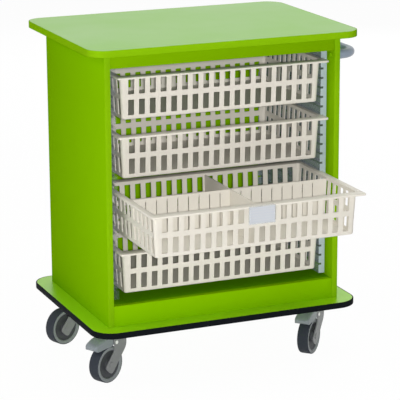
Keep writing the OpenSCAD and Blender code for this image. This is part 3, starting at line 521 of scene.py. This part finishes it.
def rounded_corners(points, radii):
    """An outline with each corner cut by a round of the given radius, as a quadratic blend
    between the two points at that distance from the corner along its sides."""
    points, out = np.asarray(points, float), []
    t = np.linspace(0, 1, 7)[:, None]
    for k, r in enumerate(radii):
        p, q, s = points[k - 1], points[k], points[(k + 1) % len(points)]
        start = q + (p - q) / np.linalg.norm(p - q) * r
        end = q + (s - q) / np.linalg.norm(s - q) * r
        out.append((1 - t) ** 2 * start + 2 * t * (1 - t) * q + t ** 2 * end)
    return np.concatenate(out)


def pressed_plate(outline, place_at, t, edge):
    """A plate of thickness t over an outline, its rim rounded: loops of the outline drawn in at
    both faces. place_at turns outline points and a depth into space."""
    return stacked([place_at(inset(outline, inwards), depth)
                    for inwards, depth in rounded_levels(0, t, edge, 4)])


def mirrored(half):
    """A profile carried on by its own mirror image, back across the wheel's middle."""
    return np.concatenate([half, half[::-1] * [1, -1]])


trail, axle_z, crown_z, crown_top = 40, 50, 118, 132
arm_in, arm_out, crown_lead, crown_rear = 18.3, 22.3, 20, 30
arm_w, arm_end, arm_offset, knee_x = 33, 20, 1.5, 24.5


def arm_outline():
    """Side view of a fork arm, anticlockwise. Its strip has its own axes: along, from the
    crown's leading edge down through the axle, and across, towards the rear."""
    slope = np.arctan2(crown_z - axle_z, trail + crown_lead)
    length = np.hypot(crown_z - axle_z, trail + crown_lead) + arm_end
    rear = arm_w / 2 - arm_offset
    lead = rear - arm_w

    def at(along, across):
        return [-crown_lead + along * np.cos(slope) + across * np.sin(slope),
                crown_z - along * np.sin(slope) + across * np.cos(slope)]
    points = [at(-lead * np.tan(slope), lead), at(length, lead), at(length, rear),
              at((knee_x + crown_lead - rear * np.sin(slope)) / np.cos(slope), rear),
              [crown_rear, crown_z], [crown_rear, crown_top], [-crown_lead, crown_top]]
    return rounded_corners(points, [12, 11, 11, 10, 6, 3, 3])


# Each wheel trails its kingpin in this direction, in degrees; the hidden one's is guessed.
turns = {"fl": 208, "fr": 223, "rl": 202, "rr": 216}
plate_box = {k: np.array(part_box(f"caster_plate_{k}")) for k in turns}


def caster_space(corner):
    """The floor point under a caster's plate, the turn of caster points, x along the trail and
    y across it, into the trolley's frame, and the direction of the axle."""
    lo, hi = plate_box[corner]
    centre = np.array([(lo[0] + hi[0]) / 2, (lo[1] + hi[1]) / 2, 0])
    a = np.radians(turns[corner])
    ahead, across = np.array([np.cos(a), np.sin(a), 0]), np.array([-np.sin(a), np.cos(a), 0])

    def put(points):
        points = np.asarray(points, float)
        return centre + points[..., :1] * ahead + points[..., 1:2] * across \
            + points[..., 2:] * np.array([0, 0, 1.0])
    return centre, put, across


arm_side = arm_outline() * mm
plate_low, plate_high, plate_r, plate_edge = 143 * mm, 146 * mm, 8 * mm, 0.5 * mm
bridge_r, bridge_edge, arm_edge, wheel_sides = 2 * mm, 0.8 * mm, 0.9 * mm, 96
for corner in turns:
    lo, hi = plate_box[corner]
    centre, put, across = caster_space(corner)

    # Top plate: punched steel with round corners, the race pressed down under it.
    outline = round_outline(lo[0], hi[0], lo[1], hi[1], plate_r)
    race = np.array([[6.1, 138], [27.5, 138], [29.4, 138.5], [30, 140], [30, 143.2],
                     [6.1, 143.2]]) * mm
    piece(f"top_plate_{corner}",
          [stacked(slab_loops(outline, plate_low, plate_high, plate_edge)),
           turned(race, centre, (0, 0, 1))],
          "cabinet", zinc, [f"caster_plate_{corner}"])

    # Fork: round crown with a skirt over the balls, and two arms down to the axle.
    crown = np.array([[6.05, 118], [28.4, 118], [29.5, 118.5], [30, 119.8], [30, 137],
                      [29.4, 137.7], [28, 137.7], [28, 132], [6.05, 132]]) * mm
    parts = [turned(crown, centre, (0, 0, 1))]
    bridge = round_outline(-crown_lead * mm, crown_rear * mm, -arm_out * mm, arm_out * mm,
                           bridge_r)
    parts.append(stacked([put(loop) for loop in slab_loops(bridge, crown_z * mm, crown_top * mm,
                                                           bridge_edge)]))
    for y0, y1 in ((arm_in, arm_out), (-arm_out, -arm_in)):
        def arm_at(xz, depth, y0=y0):
            y = np.full(len(xz), y0 * mm + depth)
            return put(np.column_stack([xz[:, 0], y, xz[:, 1]]))
        parts.append(pressed_plate(arm_side, arm_at, (y1 - y0) * mm, arm_edge))
    piece(f"fork_{corner}_pressed", parts, f"fork_{corner}", fork_grey,
          [f"caster_fork_{corner}"])

    # Axle: a steel rod riveted over to a low head on each arm, coated with the fork.
    outfit(f"caster_axle_{corner}", fork_grey)

    # Wheel centre: hub, dished web and rim turned as one dark piece.
    hub = put(np.array([[trail * mm, 0, axle_z * mm]]))[0]
    half = np.array([[6.05, 17.5], [6.4, 17.7], [13.5, 17.7], [14.6, 17.2], [15, 16],
                     [15.4, 12.2], [16.4, 11], [33.6, 11], [35, 11.4], [36.6, 12.6],
                     [37.4, 13], [40.8, 13], [41.6, 12.8], [42, 12.4]])
    piece(f"wheel_centre_{corner}", [turned(mirrored(half) * mm, hub, across, wheel_sides)],
          f"wheel_{corner}", wheel_dark, [f"wheel_{corner}"])

    # Tyre: a dark slate tread pressed over the rim, with a lighter grey cover ring on each side.
    half = np.array([[42.05, 12.9], [47.2, 12.9], [47.7, 15.9], [48.5, 15.8], [49.2, 15.2],
                     [49.7, 14.2], [49.95, 12], [50, 8], [50, 3]])
    piece(f"tyre_{corner}_pressed", [turned(mirrored(half) * mm, hub, across, wheel_sides)],
          f"wheel_{corner}", tyre_grey, [f"tyre_{corner}"])
    ring = np.array([[38.4, 12.7], [38.5, 13.8], [39.3, 15], [40.8, 15.7], [43, 16],
                     [46.4, 16], [47.3, 15.8], [47.6, 15.2], [47.1, 13], [42.2, 12.95]])
    rings = [turned(ring * [1, way] * mm, hub, across, wheel_sides) for way in (1, -1)]
    piece(f"cover_ring_{corner}", rings, f"wheel_{corner}", rim_grey)


# Brake pedals: moulded tongues on the two front casters, hinged under the crown on a steel
# pin, with a shoe that presses on the tyre when the pedal is trodden down.

pedal_grey = finish_of("grey pedal plastic", srgb(118, 125, 130), rough=0.36, grain=900,
                       depth=0.00004, worn_colour=srgb(160, 166, 170), worn_amount=0.4,
                       coat=0.1)
tip_x, tip_r, tip_half = 92, 8.0, 13
clear_x, clear_z, clear_r, least_hollow = 51.83, 55.42, 51.4, 0.3
shoulder_r, foot_cut, hollow_half, skirt_t = 5.5, 0.8, 18.7, 1.6


def tongue(put):
    """The tongue's skin: sections across it like a roof with two skirts, carried along its
    length. Top and underside run through given points; the half width closes at the tip as a
    round; the hollow's roof is the circle that clears the tyre when trodden down."""
    x = np.array([33, 34.5, 40, 48, 56, 64, 72, 79, 85, 90, 93, 95.5, 97.5, 98.8, 99.5, 99.9])
    top = np.interp(x, [33, 35, 56, 66, 76, 84, 91, 96, 98.6, 99.6, 100],
                    [127, 128, 128, 126.9, 124.4, 121, 117.6, 114.6, 112, 110.2, 109])
    under = np.interp(x, [33, 35, 60, 84, 91, 94, 97, 98.8, 99.6, 100],
                      [102, 101, 100.3, 98.6, 98.4, 99.2, 101.6, 104.2, 106, 107])
    tip = np.sqrt(np.clip(tip_r ** 2 - (x - tip_x) ** 2, 0, None))
    wide = tip_half + np.where(x > tip_x, tip, tip_r)
    roof = clear_z + np.sqrt(np.clip(clear_r ** 2 - (x - clear_x) ** 2, 0, None))
    roof = np.maximum(roof, under + least_hollow)
    a = np.linspace(0, np.pi / 2, 6)
    loops = []
    for k in range(len(x)):
        r = min(shoulder_r, (top[k] - under[k]) * 0.45)
        left = np.column_stack([-wide[k] + r - r * np.cos(a), top[k] - r + r * np.sin(a)])
        right = left[::-1] * [-1, 1]
        inner = min(hollow_half, wide[k] - skirt_t)
        feet = [[wide[k], under[k] + foot_cut], [wide[k] - foot_cut, under[k]],
                [inner, under[k]], [inner, roof[k]], [-inner, roof[k]], [-inner, under[k]],
                [-wide[k] + foot_cut, under[k]], [-wide[k], under[k] + foot_cut]]
        loop = np.concatenate([left, right, feet])
        loops.append(put(np.column_stack([np.full(len(loop), x[k]), loop]) * mm))
    return stacked(loops)


# Neck and shoe, in millimetres: the two ends along the trail, corner radius, low and high face.
neck, shoe = (20, 34, 1, 106.2, 114.8), (20.5, 31.5, 1.5, 103.6, 110)
pin_x, pin_z, pedal_half, block_edge = 20 * mm, 109 * mm, 17.7 * mm, 1 * mm
boss = np.array([[3.05, -17.7], [6.2, -17.7], [7, -17], [7, 17], [6.2, 17.7],
                 [3.05, 17.7]]) * mm
for corner in ("fl", "fr"):
    _, put, across = caster_space(corner)
    pin = put(np.array([[pin_x, 0, pin_z]]))[0]
    parts = [tongue(put), turned(boss, pin, across, sides=40)]
    for x0, x1, r, low, high in (neck, shoe):
        block = round_outline(x0 * mm, x1 * mm, -pedal_half, pedal_half, r * mm)
        parts.append(stacked([put(loop) for loop in slab_loops(block, low * mm, high * mm,
                                                               block_edge)]))
    piece(f"pedal_{corner}_moulded", parts, f"pedal_{corner}", pedal_grey,
          [f"brake_pedal_{corner}"])
    outfit(f"pedal_pin_{corner}", pin_steel)


# Baskets: injection moulded cream plastic, 600 x 400 mm over the rim. The walls are lattices of
# upright slots, the floor is plain, the corners and the bottom edge are rounded, and a flange
# with a turned-down lip runs in the grooves.

basket_w, basket_d, basket_h, rim_r, wall = 600.0, 400.0, 116.5, 7.0, 2.5
floor_w, floor_d, lean, corner_r, bottom_r = 559.4, 335.0, 5.8 / basket_h, 9.0, 4.0
slot_w, slot_pitch, slot_r, border, long_row, short_row = 16.5, 30.0, 2.0, 4.0, 18, 11
slot_rows = np.array([[11.0, 52.5], [66.5, 108.0]])
wall_top = basket_h - 1.2


def lattice(xs, ys, r):
    """A sheet of slots between solid bars, as points and quads in the plane. Each slot is a
    rounded rectangle of 12 points joined to the 12 points of its own cell, whose corners lie
    half way along the bars, and a border's width beyond the outermost slots."""
    points, quads = [], []
    cell_x, cell_y = (np.array([s[0, 0] - border, *(s[:-1, 1] + s[1:, 0]) / 2,
                                s[-1, 1] + border]) for s in (xs, ys))
    cut = (1 - 0.7071) * r
    for i, (a, b) in enumerate(xs):
        for j, (c, d) in enumerate(ys):
            left, right, low, high = cell_x[i], cell_x[i + 1], cell_y[j], cell_y[j + 1]
            hole = [(a, c + r), (a + cut, c + cut), (a + r, c), (b - r, c),
                    (b - cut, c + cut), (b, c + r), (b, d - r), (b - cut, d - cut),
                    (b - r, d), (a + r, d), (a + cut, d - cut), (a, d - r)]
            cell = [(left, c + r), (left, low), (a + r, low), (b - r, low), (right, low),
                    (right, c + r), (right, d - r), (right, high), (b - r, high),
                    (a + r, high), (left, high), (left, d - r)]
            start, count = len(points), len(hole)
            points += cell + hole
            for n in range(count):
                m = (n + 1) % count
                quads.append([start + n, start + m, start + count + m, start + count + n])
    return np.array(points), quads, cell_x, cell_y


def strip(xs, ys):
    """A plain patch of quads over the lines xs and ys."""
    x, y = np.meshgrid(xs, ys)
    return np.stack([x.ravel(), y.ravel()], 1), grid_quads(len(ys), len(xs), False, False).tolist()


def join_flat(patches):
    """Patches of one plane put together, with points that coincide made one."""
    points, quads, start = [], [], 0
    for p, q in patches:
        points.append(p)
        quads += [[v + start for v in face] for face in q]
        start += len(p)
    points = np.concatenate(points)
    _, first, where = np.unique(np.round(points, 4), axis=0, return_index=True,
                                return_inverse=True)
    where = np.asarray(where).ravel()
    return points[first], [[int(where[v]) for v in face] for face in quads]


def thickened(points, quads, surface):
    """A closed sheet: the quads on the outer surface, the same on the inner one turned over,
    and a wall along each edge that belongs to one quad only."""
    outer, inner = surface(points, 0.0), surface(points, 1.0)
    n = len(points)
    faces = [list(q) for q in quads] + [[v + n for v in q[::-1]] for q in quads]
    q = np.array(quads)
    edges = np.stack([q, np.roll(q, -1, 1)], -1).reshape(-1, 2)
    keys = {tuple(e) for e in edges.tolist()}
    faces += [[b, a, a + n, b + n] for a, b in keys if (b, a) not in keys]
    return np.concatenate([outer, inner]), faces


def slots_along(count):
    """The edges of a row of evenly spaced slots, centred: one (start, end) for each."""
    centres = (np.arange(count) - (count - 1) / 2) * slot_pitch
    return np.stack([centres - slot_w / 2, centres + slot_w / 2], 1)


def wall_patches(half_flat, columns):
    """One wall's sheet in (x, height): the lattice, plain strips out to the corners and the
    solid borders below and above it."""
    points, quads, cx, cy = lattice(columns, slot_rows, slot_r)
    stations = np.unique(np.concatenate([cx, columns[:, 0] + slot_r, columns[:, 1] - slot_r]))
    heights = np.unique(np.concatenate([cy, slot_rows[:, 0] + slot_r, slot_rows[:, 1] - slot_r]))
    low = np.array([0, bottom_r / 2, bottom_r, cy[0]])
    patches = [(points, quads)]
    for lines in (low, np.array([cy[-1], wall_top])):
        patches.append(strip(stations, lines))
    every = np.unique(np.concatenate([low, heights, [wall_top]]))
    for x0, x1 in ((-half_flat, stations[0]), (stations[-1], half_flat)):
        patches.append(strip(np.array([x0, x1]), every))
    return join_flat(patches), every


def basket_profile(height):
    """The wall's outer face at each height of its sheet: what the lean adds, the whole outward
    offset, the true height, and the inward normal. The foot is a quarter round of radius
    bottom_r, and above it is a line that leans out."""
    turn = np.clip(height / bottom_r, 0, 1) * np.pi / 2
    grow = lean * np.clip(height - bottom_r, 0, None)
    up = np.where(height < bottom_r, bottom_r * (1 - np.cos(turn)), height)
    return grow, bottom_r * (np.sin(turn) - 1) + grow, up, -np.sin(turn), np.cos(turn)


def basket_wall(side, half_flat, reach, last_slot):
    """Puts a wall's sheet in space. Across the slots x stays as it is; past the last slot it
    stretches with the lean, so that the sheet meets the corner."""
    def surface(points, depth):
        x, h = points[:, 0], points[:, 1]
        grow, out, up, nx, nz = basket_profile(h)
        past = np.clip(np.abs(x) - last_slot, 0, None)
        along = np.sign(x) * (np.abs(x) + past * grow / (half_flat - last_slot))
        away = reach + out + depth * wall * nx
        flat = {"front": (along, -away), "back": (-along, away), "right": (away, along),
                "left": (-away, -along)}[side]
        return np.column_stack([*flat, up + depth * wall * nz]) * mm
    return surface


def corner_patch(sx, sy, heights):
    """A quarter of a leaning round corner as a sheet in (angle, height)."""
    points, quads = strip(np.linspace(0, np.pi / 2, 7), heights)

    def surface(points, depth):
        a, h = points[:, 0], points[:, 1]
        grow, out, up, nx, nz = basket_profile(h)
        r = corner_r + out - grow + depth * wall * nx
        x = floor_w / 2 - corner_r + grow + r * np.cos(a)
        y = floor_d / 2 - corner_r + grow + r * np.sin(a)
        return np.column_stack([sx * x, sy * y, up + depth * wall * nz]) * mm
    if sx * sy < 0:
        quads = [face[::-1] for face in quads]
    return thickened(points, quads, surface)


def basket_floor():
    """The floor's sheet: plain, lapping the walls' foot a little, with its corners drawn in to
    a round; its lines stand close together near the walls."""
    lap, plain, near = 0.3, 40, np.array([0.0, 1.2, 2.5, 5, 12])
    half_x, half_y = floor_w / 2 - bottom_r + lap, floor_d / 2 - bottom_r + lap
    xs, ys = (np.concatenate([-half + near, np.linspace(-half + plain, half - plain, count),
                              half - near[::-1]]) for half, count in ((half_x, 9), (half_y, 6)))
    points, quads = strip(xs, ys)
    r = corner_r - bottom_r
    straight = np.array([half_x - r, half_y - r])

    def surface(points, depth):
        xy = points.copy()
        d = np.abs(xy) - straight
        reach = np.hypot(d[:, 0], d[:, 1])
        over = (d > 0).all(1) & (reach > r)
        xy[over] = np.sign(xy[over]) * (straight + d[over] * (r / reach[over])[:, None])
        return np.column_stack([xy, np.full(len(xy), depth * wall)]) * mm
    return thickened(points, [face[::-1] for face in quads], surface)


def basket_rim():
    """The rim as one closed section carried round: up the wall's inside, out over the flange,
    down the lip and back under the flange to the wall's outside. Every loop is a rounded
    rectangle, so the flange widens by itself towards the front and the back."""
    h = basket_h
    top_w = floor_w + 2 * lean * (h - bottom_r)
    top_d = floor_d + 2 * lean * (h - bottom_r)
    inside = (top_w - 2 * wall, top_d - 2 * wall, corner_r - wall)
    outside = (top_w, top_d, corner_r)
    rim = (basket_w, basket_d, rim_r)
    section = [(inside, -0.25, h - 9), (inside, 0, h - 1.4), (inside, 0.4, h - 0.4),
               (inside, 1.4, h), (rim, -1.4, h), (rim, -0.4, h - 0.4), (rim, 0, h - 1.3),
               (rim, 0, h - 4.6), (rim, -0.4, h - 5), (rim, -1.5, h - 5), (rim, -2, h - 4.6),
               (rim, -2, h - 3), (rim, -2.6, h - 2.5), (outside, 0.8, h - 2.5),
               (outside, 0.1, h - 3), (outside, -0.2, h - 9)]
    loops = []
    for (w, d, r), grow, z in section:
        xy = round_outline(-w / 2 - grow, w / 2 + grow, -d / 2 - grow, d / 2 + grow,
                           max(r + grow, 0.5), arc=6)
        loops.append(at_height(xy, z) * mm)
    return stacked(loops, True)


def basket_parts():
    """Four walls, four corners, the floor and the rim of one basket about its own middle."""
    parts = [basket_floor(), basket_rim()]
    for sides, half_flat, reach, columns in (
            (("front", "back"), floor_w / 2 - corner_r, floor_d / 2, slots_along(long_row)),
            (("left", "right"), floor_d / 2 - corner_r, floor_w / 2, slots_along(short_row))):
        (points, quads), heights = wall_patches(half_flat, columns)
        for side in sides:
            parts.append(thickened(points, quads, basket_wall(side, half_flat, reach,
                                                              columns[-1, 1] + border)))
    for sx in (-1, 1):
        for sy in (-1, 1):
            parts.append(corner_patch(sx, sy, heights))
    return parts


cream = finish_of("cream basket plastic", srgb(211, 206, 195), rough=0.45, grain=1500,
                  depth=0.00002, worn_colour=srgb(236, 231, 221), worn_amount=0.4,
                  worn_width=0.001, shade_spread=0.03, gloss=0.35)
shape = basket_parts()
for number in (1, 2, 3, 4):
    lo, hi = np.array(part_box(f"basket_{number}"))
    middle = np.array([(lo[0] + hi[0]) / 2, (lo[1] + hi[1]) / 2, lo[2]])
    piece(f"mesh_basket_{number}", [(p + middle, f) for p, f in shape], f"basket_{number}",
          cream, [f"basket_{number}"])


# Dividers of the drawn basket: two plates of the same plastic, notched over each other. The
# one across the basket has slits that take more plates.

for node in ("cross_divider", "length_divider"):
    outfit(node, cream)


# Label holder: a clear moulded pocket hooked over the third basket's rim, with a pale card
# ruled in pale blue lines.

label_clear = clear_plastic("clear label plastic", srgb(226, 231, 235), rough=0.15, cover=0.2,
                            sawn=0.2)
outfit("label_holder", label_clear)
line_pitch = 7 * mm


def ruled_card():
    """Pale card with level lines at an even pitch: the height, folded to and fro over half the
    pitch, is nought on each line, and a step a fraction of a millimetre away ends the line."""
    made, tree, shader = new_material("ruled white card", Specular_IOR_Level=0.25)
    spot = place(tree, "TexCoord")
    axes = place(tree, "SeparateXYZ", spot.outputs["Object"])
    saw = place(tree, "Math", axes.outputs["Z"], line_pitch / 2, operation="PINGPONG")
    line = place(tree, "MapRange", Value=saw.outputs[0], From_Min=0.00012, From_Max=0.00025,
                 To_Min=1.0, To_Max=0.0)
    tint = place(tree, "Mix", data_type="RGBA", Factor=line.outputs["Result"],
                 A=(*srgb(187, 190, 195), 1), B=(*srgb(167, 178, 194), 1))
    skin = place(tree, "Group", node_tree=surface_skin, Scale=2500.0, Swell=80.0, Cells=0.0)
    drift = place(tree, "MapRange", Value=skin.outputs["Cloud"], To_Min=0.6, To_Max=0.75)
    bump = place(tree, "Bump", Strength=1.0, Distance=0.00002, Height=skin.outputs["Height"])
    fill_in(shader, Base_Color=tint.outputs["Result"], Roughness=drift.outputs["Result"],
            Normal=bump.outputs["Normal"])
    return made


outfit("label_card", ruled_card())


# Studio: a pale plain floor that the camera sees as white with a faint shadow, a small lamp at
# the camera that lights what shows through the slots, broad soft lamps at the left, above the
# drawn basket and behind, and a world that is white where it is seen but lights little.

def seen_directly(tree):
    """One where a camera, glossy or transmitted ray arrives, else nought."""
    rays = place(tree, "LightPath")
    first = place(tree, "Math", rays.outputs["Is Camera Ray"], rays.outputs["Is Glossy Ray"],
                  operation="MAXIMUM")
    both = place(tree, "Math", first.outputs[0], rays.outputs["Is Transmission Ray"],
                 operation="MAXIMUM")
    return both.outputs[0]


floor_half, white_share, world_light = 30, 0.97, 0.1
pale_floor, tree, shader = new_material("pale studio floor", Base_Color=(0.9, 0.9, 0.9, 1),
                                        Roughness=0.9, Specular_IOR_Level=0.1)
white = place(tree, "Emission", Color=(1, 1, 1, 1), Strength=1.0)
part = place(tree, "Math", seen_directly(tree), white_share, operation="MULTIPLY")
blend = place(tree, "MixShader", part.outputs[0], shader.outputs["BSDF"],
              white.outputs["Emission"])
fill_in(tree.nodes["Material Output"], Surface=blend.outputs["Shader"])
floor_mesh = bpy.data.meshes.new("studio_floor")
floor_mesh.from_pydata([(x * floor_half, y * floor_half, 0)
                        for x, y in ((-1, -1), (1, -1), (1, 1), (-1, 1))], [], [(0, 1, 2, 3)])
floor = in_scene("studio_floor", floor_mesh)
floor_mesh.materials.append(pale_floor)

world = bpy.data.worlds.new("studio")
bpy.context.scene.world = world
world.use_nodes = True
level = place(world.node_tree, "MapRange", Value=seen_directly(world.node_tree),
              To_Min=world_light, To_Max=1.0)
fill_in(world.node_tree.nodes["Background"], Color=(1, 1, 1, 1),
        Strength=level.outputs["Result"])

lamp_aim = Vector((0, 0, 0.5))
for name, at, size, power in (("lamp at the camera", (-2.05, -4.91, 1.84), 0.15, 214),
                              ("lamp at the upper left", (-4.2, 0.0, 2.4), 2.6, 66),
                              ("lamp above", (0.3, -0.9, 4.5), 2.6, 76),
                              ("lamp behind", (2.6, 4.0, 2.0), 2.6, 130)):
    light = bpy.data.lights.new(name, "AREA")
    light.size, light.energy = size, power
    lamp = in_scene(name, light)
    lamp.location = at
    lamp.visible_glossy = False  # it leaves no bright patch in the boards
    lamp.rotation_mode = "QUATERNION"
    lamp.rotation_quaternion = (lamp_aim - Vector(at)).to_track_quat("-Z", "Y")


# Camera: at the photograph's viewing angle, 23 degrees to the left and 15 degrees above, level
# to a quarter of a degree, with no shift. It stands off the base board's middle on the floor.

yaw, pitch, roll = 0.39975, 0.25951, -0.00463
focal_pixels, picture_pixels, sensor = 1981.24, 400, 36
from_base = [-2.03758, -4.87942, 1.82246]
camera_data = bpy.data.cameras.new("studio camera")
camera = in_scene("studio camera", camera_data)
camera_data.sensor_fit = "HORIZONTAL"
camera_data.sensor_width = sensor
camera_data.lens = sensor * focal_pixels / picture_pixels
camera_data.clip_start, camera_data.clip_end = 0.1, 100
ahead = np.array([np.sin(yaw) * np.cos(pitch), np.cos(yaw) * np.cos(pitch), -np.sin(pitch)])
right = np.array([np.cos(yaw), -np.sin(yaw), 0.0])
up = np.cross(right, ahead)
right, up = np.cos(roll) * right + np.sin(roll) * up, np.cos(roll) * up - np.sin(roll) * right
lo, hi = np.array(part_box("base_board"))
stand = np.array([*(lo + hi)[:2] / 2, 0]) + from_base
camera.matrix_world = Matrix([[right[i], up[i], -ahead[i], stand[i]] for i in range(3)]
                             + [[0, 0, 0, 1]])
bpy.context.scene.camera = camera
bpy.context.scene.view_settings.view_transform = "Standard"
